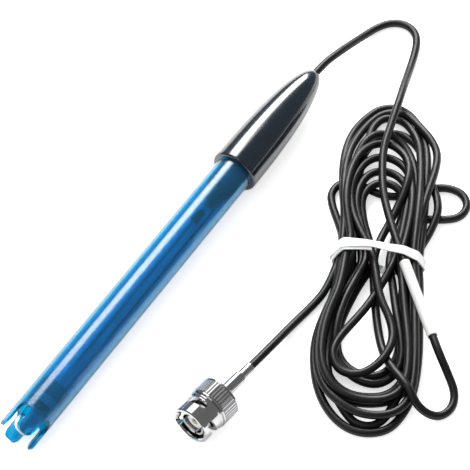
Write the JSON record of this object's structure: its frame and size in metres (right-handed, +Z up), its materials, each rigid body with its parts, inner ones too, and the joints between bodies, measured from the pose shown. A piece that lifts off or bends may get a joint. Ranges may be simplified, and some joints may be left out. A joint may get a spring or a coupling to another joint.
{
  "type": "ph electrode",
  "caption": "Combination pH electrode with a translucent guarded shaft, a tapered cap, and a thin tied lead that ends in a bayonet plug.",
  "frame": {"origin": "on the surface that the electrode lies on, under the middle of its length", "axes": "+X along the electrode from the sensing tip to the cap, +Z up from the surface"},
  "size_m": [0.1994, 0.1057, 0.0153],
  "materials": {
    "blue_plastic": "translucent blue moulding, gloss",
    "bulb_glass": "clear blown glass",
    "junction_ceramic": "porous, unglazed",
    "seal_rubber": "matt elastomer",
    "silver_wire": "drawn silver wire, dull",
    "spacer_plastic": "matt",
    "potting_resin": "cast resin",
    "cap_plastic": "black-blue moulding, high gloss",
    "cable_parts": "stripped cable end",
    "tinned_brass": "tinned crimp",
    "copper_braid": "twisted copper braid",
    "nickel": "nickel-plated brass, bright",
    "spring_steel": "bare spring steel",
    "insulator_white": "waxy white fluoropolymer",
    "contact_gold": "gold-plated",
    "gasket_rubber": "soft silicone",
    "jacket_black": "extruded soft jacket, satin",
    "sleeve_white": "heat-shrunk sleeve",
    "tie_white": "soft flat strip"
  },
  "bodies": {
    "root": {"body_tube": "blue_plastic", "glass_stem_bulb": "bulb_glass", "reference_junction": "junction_ceramic", "lower_seal": "seal_rubber", "inner_wire": "silver_wire", "wire_spacer": "spacer_plastic", "stem_stopper": "seal_rubber", "reference_wire": "silver_wire", "potting_plug": "potting_resin", "cap": "cap_plastic", "cable_bush": "seal_rubber", "cable_end": "cable_parts", "core_splice": "tinned_brass", "shield_splice": "tinned_brass", "shield_pigtail": "copper_braid", "plug_body": "nickel", "contact_sleeve": "nickel", "plug_insulator": "insulator_white", "centre_contact": "contact_gold", "plug_gasket": "gasket_rubber", "spring_washer": "spring_steel", "crimp_ferrule": "nickel", "tail_core": "insulator_white", "cord_lead_in": "jacket_black", "cord_tail": "jacket_black", "cord_sleeve": "sleeve_white", "cord_hank": "jacket_black", "cord_tie": "tie_white"},
    "nut_washer": {"thrust_washer": "nickel"},
    "nut": {"coupling_nut": "nickel", "retaining_ring": "spring_steel"}
  },
  "joints": [
    {"name": "nut_slide", "type": "slide", "parent": "root", "child": "nut_washer", "axis": [-0.993, 0.1131, 0.0349], "range_m": [0, 0.0005], "stiffness_N_per_m": 1500, "deforming": ["spring_washer"]},
    {"name": "nut_spin", "type": "hinge", "parent": "nut_washer", "child": "nut", "pos_m": [-0.04325, -0.04038, 0.00684], "axis": [-0.993, 0.1131, 0.0349], "continuous": true}
  ]
}
